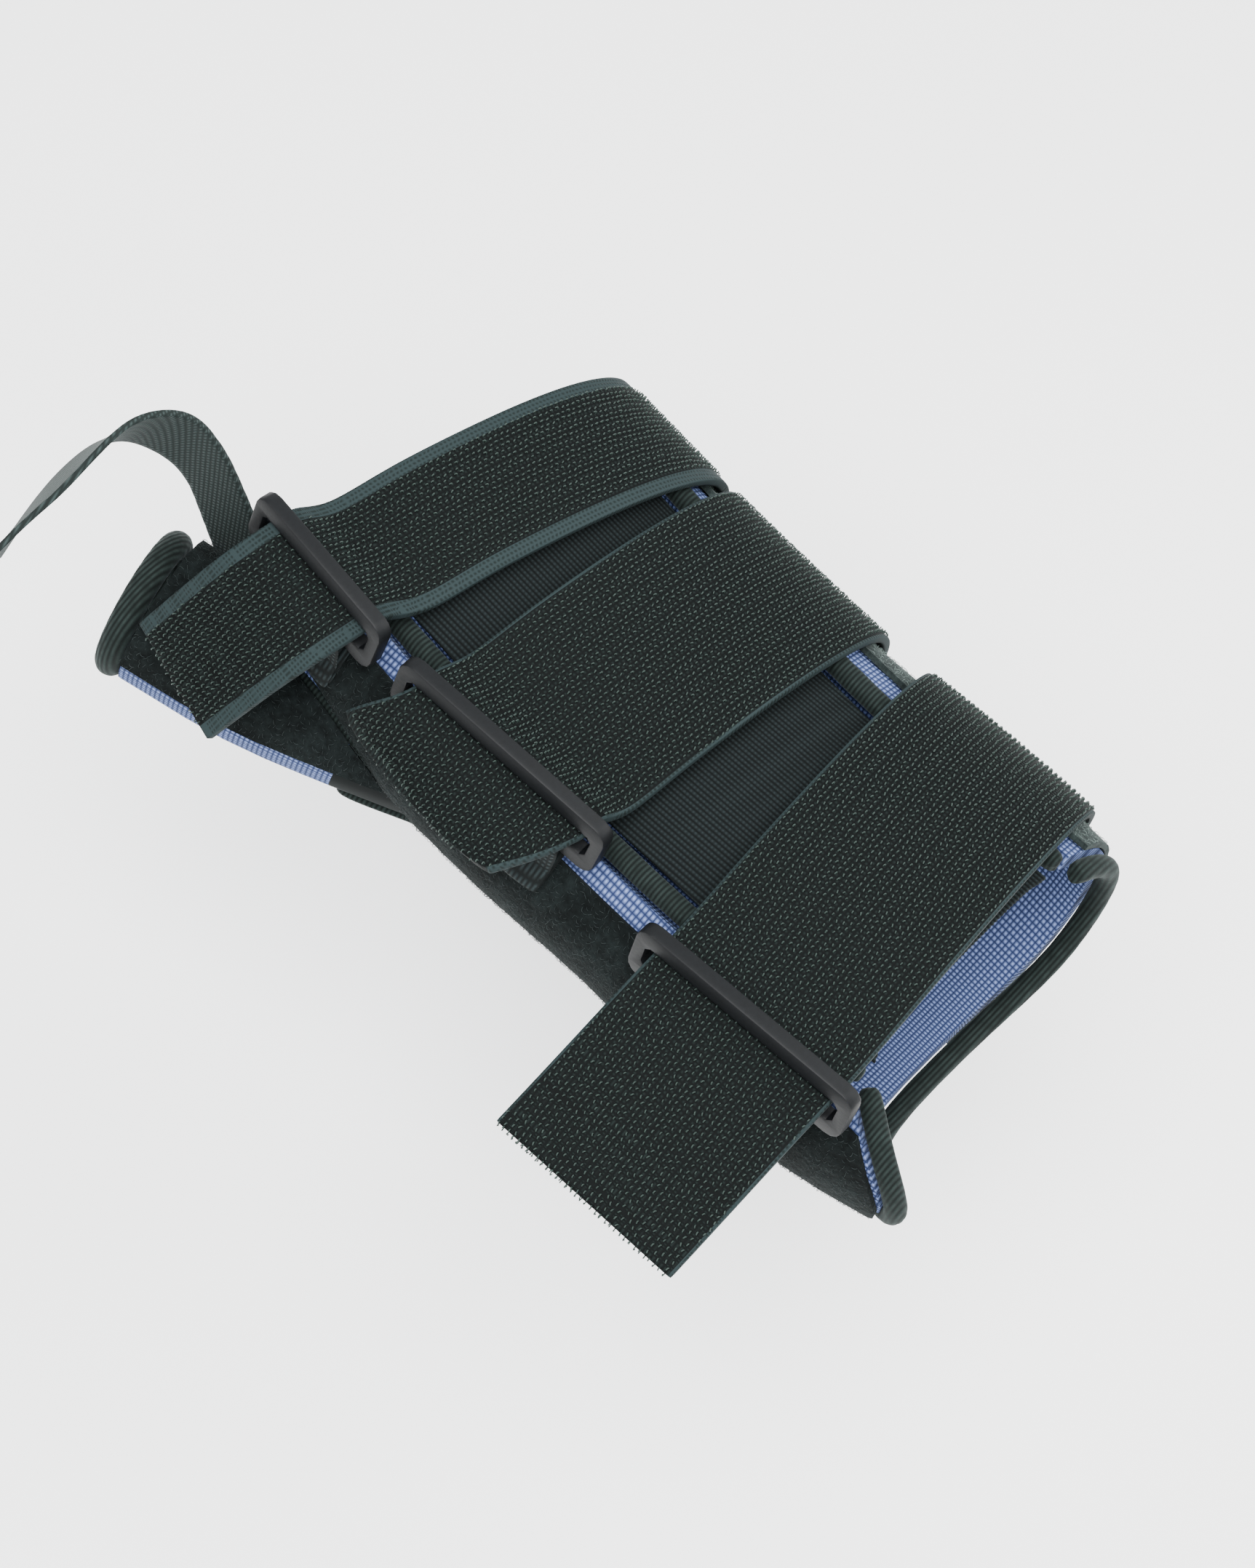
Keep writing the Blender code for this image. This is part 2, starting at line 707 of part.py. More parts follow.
def build_fastenings():
    for number, (name, width, share, slant, turn, foot, *end) in enumerate(STRAPS, 1):
        place = place_of(share)
        base, up, along = strap_frame(width, place, turn, foot)
        length = width + 2 * (SLOT_SIDE + RING_SIDE)
        build_ring(f"ring_{number}", base, up, along, length)
        build_keeper(f"keeper_{number}", base, along, place, turn, foot, width)
        build_strap(name, width, place, slant, turn, foot, *end)


def build_thumb_strap():
    height = SHELL_WALL + PANEL_WALL + THUMB_STRAP_STAND + THUMB_STRAP_WALL / 2
    root = thumb_point(THUMB_STRAP_ROOT, THUMB_STRAP_ANGLE, height)
    lanes = [[] for _ in range(THUMB_STRAP_COLUMNS + 1)]
    for k in range(THUMB_STRAP_STEPS + 1):
        place = THUMB_STRAP_SEWN + (1 - THUMB_STRAP_SEWN) * k / THUMB_STRAP_STEPS
        x, y, z, *across = through(THUMB_STRAP_LINE, place)
        middle = root + np.array((x, y, z)) * THUMB_STRAP_LENGTH
        across = np.array(across) / np.linalg.norm(across)
        for j, lane in enumerate(lanes):
            lane.append(middle + across * THUMB_STRAP_WIDTH * (j / THUMB_STRAP_COLUMNS - 0.5))
    sheet("thumb_strap", lanes, THUMB_STRAP_WALL, WEBBING, splint)


def edge_line(low_edge, high_edge, y_of, end, count):
    """Middle of a binding that lies against the shell's edge, beyond it by its own radius and a gap."""
    edge, lifted = [], []
    for k in range(count + 1):
        share = k / count
        y = y_of(low_edge(0.0) + (high_edge(0.0) - low_edge(0.0)) * share)
        angle = low_edge(y) + (high_edge(y) - low_edge(y)) * share
        edge.append(surface(y, angle, SHELL_WALL / 2))
        lifted.append(surface(y, angle, SHELL_WALL))
    edge, lifted = np.array(edge), np.array(lifted)
    away = np.cross(np.gradient(edge, axis=0), lifted - edge)
    away *= (end * np.sign(away[:, 1]) / np.linalg.norm(away, axis=1))[:, None]
    return edge + away * (EDGE_RADIUS + GAP)


def build_edges():
    points = edge_line(radial_edge, ulnar_edge, proximal_edge, -1, PROXIMAL_STEPS)
    tube("binding_proximal", points, EDGE_RADIUS, ROLL, splint)
    points = edge_line(lambda y: THUMB_GAP, ulnar_edge, distal_edge, 1, DISTAL_STEPS)
    tube("binding_distal", points, EDGE_RADIUS, ROLL, splint)


body_cutter, cover_cutter, thumb_cutter = build_cutters()
build_shell(thumb_cutter)
build_panels(thumb_cutter)
build_dorsal()
build_thumb(body_cutter, cover_cutter)
build_edges()
build_fastenings()
build_thumb_strap()
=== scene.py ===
"""Dresses a thumb spica splint: spacer mesh, loop cloth, ribbed elastic, hook tape and moulded rings.

Metres, in the frame's axes: +Y to the fingers, +Z out of the back of the hand, -X to the thumb.
"""

import math
from types import SimpleNamespace

import bmesh
import bpy
import numpy as np
from mathutils import Matrix, Vector
from mathutils.bvhtree import BVHTree


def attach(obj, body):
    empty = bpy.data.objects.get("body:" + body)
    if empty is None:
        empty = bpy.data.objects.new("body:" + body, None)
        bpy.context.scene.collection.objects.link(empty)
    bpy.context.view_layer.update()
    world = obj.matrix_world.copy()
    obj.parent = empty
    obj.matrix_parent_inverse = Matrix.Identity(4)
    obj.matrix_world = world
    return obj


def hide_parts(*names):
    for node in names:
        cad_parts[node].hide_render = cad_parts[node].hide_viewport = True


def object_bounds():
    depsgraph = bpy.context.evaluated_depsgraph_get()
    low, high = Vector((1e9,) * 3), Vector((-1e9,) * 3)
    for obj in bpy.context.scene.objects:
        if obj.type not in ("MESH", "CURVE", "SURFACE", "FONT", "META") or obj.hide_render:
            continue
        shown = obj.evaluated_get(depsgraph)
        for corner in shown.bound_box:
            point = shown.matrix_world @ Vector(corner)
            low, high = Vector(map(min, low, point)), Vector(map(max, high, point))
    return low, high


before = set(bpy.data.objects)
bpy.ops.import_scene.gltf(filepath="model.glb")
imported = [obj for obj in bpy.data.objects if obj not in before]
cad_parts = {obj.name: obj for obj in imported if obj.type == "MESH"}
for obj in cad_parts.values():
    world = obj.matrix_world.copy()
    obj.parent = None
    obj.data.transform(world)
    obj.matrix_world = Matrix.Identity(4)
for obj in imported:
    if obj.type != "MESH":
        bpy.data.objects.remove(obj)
cad_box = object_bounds()


# Shell
# The body is one wall of knitted polyester spacer mesh, cut flat and sewn into a sleeve that stays open
# along the back of the hand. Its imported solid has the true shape, so it keeps it and gets the mesh's look.
MM = 0.001
MERGE = 0.01 * MM
SHARP = math.radians(38)
CELL = 1.0 * MM
BODY_GIRTH = 33 * MM
KNOT_POWER = 0.6
MESH_RELIEF = 0.25 * MM
THUMB_MIDDLE = (-0.0442, 0.078, -0.0066)
THUMB_WAY = (-0.258, 0.957, 0.130)
SEAM_RADIUS = 20 * MM
SEAM_MIDDLE = -34 * MM
SEAM_REACH = 10 * MM


def linear(code):
    """An sRGB hex value as a linear colour."""
    parts = [int(code[k : k + 2], 16) / 255 for k in (1, 3, 5)]
    return (*[p / 12.92 if p <= 0.04045 else ((p + 0.055) / 1.055) ** 2.4 for p in parts], 1)


def add(tree, kind, inputs=None, **settings):
    """Adds a node: settings are its properties, inputs its sockets by name or number, as values or links."""
    node = tree.nodes.new(kind)
    for key, value in settings.items():
        setattr(node, key, value)
    for key, value in (inputs or {}).items():
        if isinstance(value, bpy.types.NodeSocket):
            tree.links.new(value, node.inputs[key])
        else:
            node.inputs[key].default_value = value
    return node


def begun(name):
    made = bpy.data.materials.new(name)
    made.use_nodes = True
    made.node_tree.nodes.clear()
    return made, made.node_tree


def finished(tree, height, low, high, relief, roughness, sheen=0.0, gloss=0.07):
    """Ends a material: its height, from 0 to 1, mixes two colours and stands up by the relief."""
    colour = low if isinstance(low, bpy.types.NodeSocket) else linear(low)
    mixed = add(tree, "ShaderNodeMix", {"Factor": height, 6: colour, 7: linear(high)}, data_type="RGBA")
    bump = add(tree, "ShaderNodeBump", {"Height": height, "Distance": relief, "Strength": 1.0})
    sockets = {"Base Color": mixed.outputs[2], "Roughness": roughness, "Normal": bump.outputs[0]}
    sockets.update({"Sheen Weight": sheen, "Sheen Roughness": 0.4, "Sheen Tint": linear("#9AA6A4")})
    sockets["Specular IOR Level"] = gloss
    shader = add(tree, "ShaderNodeBsdfPrincipled", sockets)
    add(tree, "ShaderNodeOutputMaterial", {"Surface": shader.outputs[0]})


def wave(tree, coordinate, pitch):
    """A smooth wave from 0 to 1 along one coordinate."""
    turn = add(tree, "ShaderNodeMath", {0: coordinate, 1: 2 * math.pi / pitch}, operation="MULTIPLY")
    swing = add(tree, "ShaderNodeMath", {0: turn.outputs[0]}, operation="SINE")
    sockets = {"Value": swing.outputs[0], "From Min": -1.0, "From Max": 1.0}
    return add(tree, "ShaderNodeMapRange", sockets).outputs[0]


def wrapped(tree, middle, turned, girth):
    """Distance round an axis and along it, for a cloth that is wrapped round that axis."""
    place = add(tree, "ShaderNodeTexCoord").outputs["Object"]
    moved = add(tree, "ShaderNodeVectorMath", {0: place, 1: middle}, operation="SUBTRACT")
    sockets = {"Vector": moved.outputs[0], "Rotation": turned}
    spun = add(tree, "ShaderNodeVectorRotate", sockets, rotation_type="EULER_XYZ")
    parts = add(tree, "ShaderNodeSeparateXYZ", {0: spun.outputs[0]})
    angle = add(tree, "ShaderNodeMath", {0: parts.outputs["Z"], 1: parts.outputs["X"]}, operation="ARCTAN2")
    arc = add(tree, "ShaderNodeMath", {0: angle.outputs[0], 1: girth}, operation="MULTIPLY")
    return arc.outputs[0], parts.outputs["Y"]


def round_seam(tree):
    """One near the thumb's root, where black tape covers the mesh's seam, and zero elsewhere."""
    place = add(tree, "ShaderNodeTexCoord").outputs["Object"]
    moved = add(tree, "ShaderNodeVectorMath", {0: place, 1: THUMB_MIDDLE}, operation="SUBTRACT")
    both = {0: moved.outputs[0], 1: THUMB_WAY}
    across = add(tree, "ShaderNodeVectorMath", both, operation="CROSS_PRODUCT")
    near = add(tree, "ShaderNodeVectorMath", {0: across.outputs[0]}, operation="LENGTH")
    inside = add(tree, "ShaderNodeMath", {0: near.outputs["Value"], 1: SEAM_RADIUS}, operation="LESS_THAN")
    far = add(tree, "ShaderNodeVectorMath", both, operation="DOT_PRODUCT")
    past = add(tree, "ShaderNodeMath", {0: far.outputs["Value"], 1: SEAM_MIDDLE}, operation="SUBTRACT")
    off = add(tree, "ShaderNodeMath", {0: past.outputs[0]}, operation="ABSOLUTE")
    beside = add(tree, "ShaderNodeMath", {0: off.outputs[0], 1: SEAM_REACH}, operation="LESS_THAN")
    sockets = {0: inside.outputs[0], 1: beside.outputs[0]}
    return add(tree, "ShaderNodeMath", sockets, operation="MULTIPLY").outputs[0]


def spacer_mesh(name, middle, turned, girth):
    """Knitted polyester spacer mesh: pale blue knots round dark cells, drawn a third coarser than real."""
    made, tree = begun(name)
    around, along = wrapped(tree, middle, turned, girth)
    knots = {0: wave(tree, around, CELL), 1: wave(tree, along, CELL)}
    height = add(tree, "ShaderNodeMath", knots, operation="MULTIPLY")
    lifted = add(tree, "ShaderNodeMath", {0: height.outputs[0], 1: KNOT_POWER}, operation="POWER")
    seam = round_seam(tree)
    bare = add(tree, "ShaderNodeMath", {0: 1.0, 1: seam}, operation="SUBTRACT")
    shown = add(tree, "ShaderNodeMath", {0: lifted.outputs[0], 1: bare.outputs[0]}, operation="MULTIPLY")
    sockets = {"Factor": seam, 6: linear("#1E2744"), 7: linear("#0A0D0D")}
    cells = add(tree, "ShaderNodeMix", sockets, data_type="RGBA")
    finished(tree, shown.outputs[0], cells.outputs[2], "#7080AE", MESH_RELIEF, roughness=0.85, sheen=0.03)
    return made


def soften(name, look, levels=0):
    """Gives a frame node its look and smooth faces, and rounds its merged mesh where levels are given."""
    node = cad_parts[name]
    mesh = node.data
    mesh.materials.clear()
    mesh.materials.append(look)
    if "custom_normal" in mesh.attributes:
        mesh.attributes.remove(mesh.attributes["custom_normal"])
    mesh.shade_smooth()
    merge = node.modifiers.new("merge", "WELD")
    merge.merge_threshold = MERGE
    if levels:
        rounding = node.modifiers.new("rounding", "SUBSURF")
        rounding.levels = levels
        rounding.render_levels = levels
    split = node.modifiers.new("split", "EDGE_SPLIT")
    split.split_angle = SHARP
    return node


BODY_MESH = spacer_mesh("spacer_mesh_body", (0, 0, 0), (0, 0, 0), BODY_GIRTH)
soften("shell", BODY_MESH)


# Loop panels
# Brushed nylon loop cloth is laminated over the shell on both sides, for hook tape to grip. Its packed
# solids keep their shape, and short loops of pile stand up from their outer faces.
LOOP_RELIEF = 0.3 * MM
PILE_RADIUS = 0.045 * MM
PILE_HEIGHT = 0.45 * MM
PILE_WIDTH = 0.55 * MM
PILE_GAP = 0.75 * MM
PILE_DENSITY = 1.6e6
PILE_ROOT = -0.3
PILE_TOP = 2.0
PILE_SIZES = (0.6, 1.15)
PILE_SEED = 3
PILE_SIZE_SEED = 11
PILE_GRAIN = 0.6 / MM
CLOUD_GRAIN = 0.09 / MM
CLOTH_RANGE = (0.12, 0.42)
FILAMENT_GLOSS = 0.2
OUTWARD = 0.35
BODY_AXIS = (Vector((0, -0.1, 0)), Vector((0, 0.1, 0)))


def loop_cloth(name, low, high, sheen):
    """Brushed nylon loop cloth: a soft uneven pile, darker in its hollows, that catches light edge on."""
    made, tree = begun(name)
    place = add(tree, "ShaderNodeTexCoord").outputs["Object"]
    sockets = {"Vector": place, "Scale": PILE_GRAIN, "Detail": 3.0, "Roughness": 0.65}
    pile = add(tree, "ShaderNodeTexNoise", sockets)
    clouds = add(tree, "ShaderNodeTexNoise", {"Vector": place, "Scale": CLOUD_GRAIN, "Detail": 2.0})
    both = add(tree, "ShaderNodeMath", {0: pile.outputs[0], 1: clouds.outputs[0]}, operation="MULTIPLY")
    sockets = {"Value": both.outputs[0], "From Min": CLOTH_RANGE[0], "From Max": CLOTH_RANGE[1]}
    height = add(tree, "ShaderNodeMapRange", sockets)
    finished(tree, height.outputs[0], low, high, LOOP_RELIEF, roughness=0.95, sheen=sheen)
    return made


def tree_of(name, **sizes):
    """A Geometry Nodes tree with one geometry in, one out and a named number for each size."""
    tree = bpy.data.node_groups.new(name, "GeometryNodeTree")
    tree.interface.new_socket("Geometry", in_out="INPUT", socket_type="NodeSocketGeometry")
    tree.interface.new_socket("Geometry", in_out="OUTPUT", socket_type="NodeSocketGeometry")
    for size, value in sizes.items():
        kind = "NodeSocketInt" if isinstance(value, int) else "NodeSocketFloat"
        tree.interface.new_socket(size, in_out="INPUT", socket_type=kind)
    return tree, add(tree, "NodeGroupInput").outputs, sizes


def grown(name, mesh, tree, sizes):
    """Runs a tree on a mesh and keeps the outcome as a plain mesh object."""
    host = bpy.data.objects.new(name, mesh)
    bpy.context.scene.collection.objects.link(host)
    modifier = host.modifiers.new("nodes", "NODES")
    modifier.node_group = tree
    for item in tree.interface.items_tree:
        if item.in_out == "INPUT" and item.name in sizes:
            modifier[item.identifier] = sizes[item.name]
    graph = bpy.context.evaluated_depsgraph_get()
    result = bpy.data.meshes.new_from_object(host.evaluated_get(graph))
    bpy.data.objects.remove(host)
    result.name = name
    made = bpy.data.objects.new(name, result)
    bpy.context.scene.collection.objects.link(made)
    return made


def fibre(tree, start, middle, end, radius, sides, steps):
    """A bent round filament."""
    sockets = {"Resolution": steps, "Start": start, "Middle": middle, "End": end}
    bend = add(tree, "GeometryNodeCurveQuadraticBezier", sockets)
    ring = add(tree, "GeometryNodeCurvePrimitiveCircle", {"Resolution": sides, "Radius": radius})
    body = {"Curve": bend.outputs[0], "Profile Curve": ring.outputs[0], "Fill Caps": True}
    return add(tree, "GeometryNodeCurveToMesh", body).outputs[0]


def random_value(tree, least, most, seed):
    return add(tree, "FunctionNodeRandomValue", {2: least, 3: most, 8: seed}, data_type="FLOAT").outputs[1]


def turned_about(tree, rotation, least, most, seed):
    """A rotation, turned about its own Z by a random angle."""
    angle = random_value(tree, least, most, seed)
    about = add(tree, "FunctionNodeAxisAngleToRotation", {"Axis": (0, 0, 1), "Angle": angle})
    sockets = {"Rotation": rotation, "Rotate By": about.outputs[0]}
    return add(tree, "FunctionNodeRotateRotation", sockets, rotation_space="LOCAL").outputs[0]


def ended(tree, geometry, look):
    """Realizes the instances, sets their material and ends the tree."""
    real = add(tree, "GeometryNodeRealizeInstances", {0: geometry})
    smooth = add(tree, "GeometryNodeSetShadeSmooth", {"Geometry": real.outputs[0]})
    dressed = add(tree, "GeometryNodeSetMaterial", {"Geometry": smooth.outputs[0], "Material": look})
    add(tree, "NodeGroupOutput", {0: dressed.outputs[0]})


def pile_tree(look):
    tree, given, sizes = tree_of(
        "pile", Height=PILE_HEIGHT, Width=PILE_WIDTH, Radius=PILE_RADIUS, Gap=PILE_GAP, Seed=PILE_SEED
    )
    low = add(tree, "ShaderNodeMath", {0: given["Height"], 1: PILE_ROOT}, operation="MULTIPLY")
    tall = add(tree, "ShaderNodeMath", {0: given["Height"], 1: PILE_TOP}, operation="MULTIPLY")
    back = add(tree, "ShaderNodeMath", {0: given["Width"], 1: -1.0}, operation="MULTIPLY")
    start = add(tree, "ShaderNodeCombineXYZ", {"X": back.outputs[0], "Z": low.outputs[0]})
    middle = add(tree, "ShaderNodeCombineXYZ", {"Z": tall.outputs[0]})
    end = add(tree, "ShaderNodeCombineXYZ", {"X": given["Width"], "Z": low.outputs[0]})
    bend = (start.outputs[0], middle.outputs[0], end.outputs[0])
    loop = fibre(tree, *bend, given["Radius"], sides=3, steps=4)
    outer = add(tree, "GeometryNodeInputNamedAttribute", {"Name": "outer"}, data_type="FLOAT")
    chosen = add(tree, "FunctionNodeCompare", {0: outer.outputs[0], 1: 0.5}, operation="GREATER_THAN")
    sockets = {"Mesh": given["Geometry"], "Selection": chosen.outputs[0], "Distance Min": given["Gap"]}
    sockets.update({"Density Max": PILE_DENSITY, "Seed": given["Seed"]})
    spread = add(tree, "GeometryNodeDistributePointsOnFaces", sockets, distribute_method="POISSON")
    spun = turned_about(tree, spread.outputs["Rotation"], 0.0, 2 * math.pi, given["Seed"])
    size = random_value(tree, *PILE_SIZES, PILE_SIZE_SEED)
    placed = {"Points": spread.outputs["Points"], "Instance": loop, "Rotation": spun, "Scale": size}
    ended(tree, add(tree, "GeometryNodeInstanceOnPoints", placed).outputs[0], look)
    return tree, sizes


def merged(name):
    """A frame node's mesh in a bmesh, its loose triangles merged."""
    bm = bmesh.new()
    bm.from_mesh(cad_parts[name].data)
    bmesh.ops.remove_doubles(bm, verts=bm.verts, dist=MERGE)
    bm.normal_update()
    return bm


def outer_faces(name, axis):
    """A copy of a node's mesh whose faces that point away from an axis are marked."""
    bm = merged(name)
    mark = bm.faces.layers.float.new("outer")
    start, end = axis
    way = (end - start).normalized()
    for face in bm.faces:
        away = face.calc_center_median() - start
        away -= way * away.dot(way)
        face[mark] = float(face.normal.dot(away.normalized()) > OUTWARD)
    mesh = bpy.data.meshes.new(name + "_outer")
    bm.to_mesh(mesh)
    bm.free()
    return mesh


def ridden(piece, slot, *nodes):
    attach(piece, "root")
    if nodes:
        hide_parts(*nodes)
    return piece


def filament(name, code, roughness):
    """Nylon filament: one colour, a little glossy, so that each loop or hook shows as a pale dot."""
    made, tree = begun(name)
    sockets = {"Base Color": linear(code), "Roughness": roughness, "Specular IOR Level": FILAMENT_GLOSS}
    shader = add(tree, "ShaderNodeBsdfPrincipled", sockets)
    add(tree, "ShaderNodeOutputMaterial", {"Surface": shader.outputs[0]})
    return made


LOOP_DARK = loop_cloth("brushed_loop_black", "#050707", "#131818", 0.05)
# The ulnar panel's cloth and pile are the same black nylon as the radial one, drawn paler grey: painted
# light for the lit ulnar side and painted sheen along its fuzzy edge.
LOOP_PAINTED_LIGHT = loop_cloth("brushed_loop_painted_light", "#0E1212", "#333C3A", 0.2)
FIBRE_PAINTED_LIGHT = filament("nylon_pile_painted_light", "#5C6A66", 0.6)
FIBRE_DARK = filament("nylon_pile_black", "#1E2525", 0.6)

soften("loop_panel_radial", LOOP_DARK)
soften("loop_panel_ulnar", LOOP_PAINTED_LIGHT)
# The ulnar panel gets the paler pile, which is painted light and sheen on the same black nylon.
for name, look in (("loop_panel_radial", FIBRE_DARK), ("loop_panel_ulnar", FIBRE_PAINTED_LIGHT)):
    pile, pile_sizes = pile_tree(look)
    ridden(grown(name + "_pile", outer_faces(name, BODY_AXIS), pile, pile_sizes), "loop_fabric")


# Dorsal panel
# A thin knitted elastic panel bridges the opening on the back of the hand. Its ribs run along the arm,
# and it replaces the frame's plain wall with one whose ribs stand up.
RIB_PITCH = 0.95 * MM
RIB_HEIGHT = 0.09 * MM
RIB_CUTS = 11
STITCH = 0.8 * MM
STITCH_LOW = 0.45
PAIRING = math.radians(40)
RIM = math.radians(50)
CROSSING = 0.7


def finer(name, levels, crease, cuts=0):
    """A copy of a frame node's mesh, its triangles paired, rounded by subdivision, then cut across X."""
    bm = merged(name)
    bmesh.ops.join_triangles(bm, faces=bm.faces, angle_face_threshold=PAIRING, angle_shape_threshold=PAIRING)
    marks = bm.edges.layers.float.new("crease_edge")
    for edge in bm.edges:
        if len(edge.link_faces) == 2 and edge.calc_face_angle() > RIM:
            edge[marks] = crease
    cage = bpy.data.meshes.new(name + "_cage")
    bm.to_mesh(cage)
    bm.free()
    host = bpy.data.objects.new(name + "_host", cage)
    bpy.context.scene.collection.objects.link(host)
    rounding = host.modifiers.new("rounding", "SUBSURF")
    rounding.levels = levels
    rounding.render_levels = levels
    graph = bpy.context.evaluated_depsgraph_get()
    result = bpy.data.meshes.new_from_object(host.evaluated_get(graph))
    bpy.data.objects.remove(host)
    result.materials.clear()
    if cuts:
        bm = bmesh.new()
        bm.from_mesh(result)
        spans = ((e, abs(e.verts[0].co.x - e.verts[1].co.x)) for e in bm.edges)
        across = [edge for edge, span in spans if span > CROSSING * edge.calc_length()]
        bmesh.ops.subdivide_edges(bm, edges=across, cuts=cuts, use_grid_fill=True)
        bm.to_mesh(result)
        bm.free()
    result.shade_smooth()
    return result


def ribbed_elastic():
    """Knitted polyester elastic: dull fine ribs, each a chain of small stitches, drawn coarser than real."""
    made, tree = begun("ribbed_knit_elastic")
    parts = add(tree, "ShaderNodeSeparateXYZ", {0: add(tree, "ShaderNodeTexCoord").outputs["Object"]})
    ribs = wave(tree, parts.outputs["X"], RIB_PITCH)
    sockets = {"Value": wave(tree, parts.outputs["Y"], STITCH), "To Min": STITCH_LOW}
    chain = add(tree, "ShaderNodeMapRange", sockets)
    height = add(tree, "ShaderNodeMath", {0: ribs, 1: chain.outputs[0]}, operation="MULTIPLY")
    finished(tree, height.outputs[0], "#070909", "#1B2122", relief=0.1 * MM, roughness=0.85, sheen=0.03)
    return made


def rib_tree(look):
    tree, given, sizes = tree_of("ribs", Pitch=RIB_PITCH, Height=RIB_HEIGHT)
    parts = add(tree, "ShaderNodeSeparateXYZ", {0: add(tree, "GeometryNodeInputPosition").outputs[0]})
    turns = add(tree, "ShaderNodeMath", {0: parts.outputs["X"], 1: given["Pitch"]}, operation="DIVIDE")
    angle = add(tree, "ShaderNodeMath", {0: turns.outputs[0], 1: 2 * math.pi}, operation="MULTIPLY")
    swing = add(tree, "ShaderNodeMath", {0: angle.outputs[0]}, operation="SINE")
    lift = add(tree, "ShaderNodeMath", {0: swing.outputs[0], 1: given["Height"]}, operation="MULTIPLY")
    normal = add(tree, "GeometryNodeInputNormal").outputs[0]
    offset = add(tree, "ShaderNodeVectorMath", {0: normal, "Scale": lift.outputs[0]}, operation="SCALE")
    sockets = {"Geometry": given["Geometry"], "Offset": offset.outputs[0]}
    moved = add(tree, "GeometryNodeSetPosition", sockets)
    ended(tree, moved.outputs[0], look)
    return tree, sizes


ribs, rib_sizes = rib_tree(ribbed_elastic())
ribbed_panel = grown("ribbed_panel", finer("dorsal_panel", 1, 0.8, RIB_CUTS), ribs, rib_sizes)
ridden(ribbed_panel, "ribbed_elastic", "dorsal_panel")


# Bindings
# Rolled edges of knitted binding tape finish the dorsal opening, the hand's end and the arm's end. They
# keep their packed tubes, rounded here.
BINDING_RIB = 0.9 * MM
LINT_GRAIN = 0.5 / MM


def knit_binding():
    """Knitted polyester binding: soft and dull, with fine cross ribs and a little lint."""
    made, tree = begun("knit_binding")
    place = add(tree, "ShaderNodeTexCoord").outputs["Object"]
    lint = add(tree, "ShaderNodeTexNoise", {"Vector": place, "Scale": LINT_GRAIN, "Detail": 3.0})
    parts = add(tree, "ShaderNodeSeparateXYZ", {0: place})
    sockets = {0: wave(tree, parts.outputs["Y"], BINDING_RIB), 1: lint.outputs[0]}
    height = add(tree, "ShaderNodeMath", sockets, operation="MULTIPLY")
    finished(tree, height.outputs[0], "#0B0F0E", "#262F2D", relief=0.15 * MM, roughness=0.85, sheen=0.12)
    return made


BINDING = knit_binding()
for name in ("binding_radial", "binding_ulnar", "binding_proximal", "binding_distal"):
    soften(name, BINDING, levels=2)


# Thumb sheath
# A tube of the same spacer mesh is sewn into the shell for the thumb, with loop cloth over its back and a
# rolled lip at its mouth.
THUMB_TURN = (math.radians(-8), 0, math.radians(-15))
THUMB_AXIS = (Vector((-0.0354, 0.057, -0.008)), Vector((-0.0495, 0.098, -0.0043)))
THUMB_GIRTH = 13 * MM

THUMB_MESH = spacer_mesh("spacer_mesh_thumb", THUMB_MIDDLE, THUMB_TURN, THUMB_GIRTH)
soften("thumb_sheath", THUMB_MESH)
soften("thumb_panel", LOOP_DARK)
soften("thumb_lip", BINDING, levels=2)
thumb_pile, thumb_sizes = pile_tree(FIBRE_DARK)
thumb_outer = outer_faces("thumb_panel", THUMB_AXIS)
ridden(grown("thumb_panel_pile", thumb_outer, thumb_pile, thumb_sizes), "loop_fabric")


# Thumb seam
# A narrow black tape is sewn over the seam where the sheath leaves the shell. It follows the sheath's root.
SEAM_TAPE = 1.1 * MM
SEAM_POINTS = 144
SEAM_SIDES = 10
SEAM_SECTOR = 15
SHEATH_OUTER = 12.5 * MM


def seam_mesh():
    """A closed line of points along the sheath's root, in order round the thumb."""
    start, end = THUMB_AXIS
    way = (end - start).normalized()
    side = way.cross(Vector((0, 0, 1))).normalized()
    up = side.cross(way)
    bm = merged("thumb_sheath")
    lowest = {}
    for vertex in bm.verts:
        away = vertex.co - start
        along = away.dot(way)
        away -= way * along
        if away.length < SHEATH_OUTER:
            continue
        sector = math.degrees(math.atan2(away.dot(up), away.dot(side))) % 360 // SEAM_SECTOR
        if sector not in lowest or along < lowest[sector][0]:
            lowest[sector] = (along, vertex.co.copy())
    bm.free()
    points = [lowest[sector][1] for sector in sorted(lowest)]
    edges = [(k, (k + 1) % len(points)) for k in range(len(points))]
    mesh = bpy.data.meshes.new("thumb_seam")
    mesh.from_pydata(points, edges, [])
    return mesh


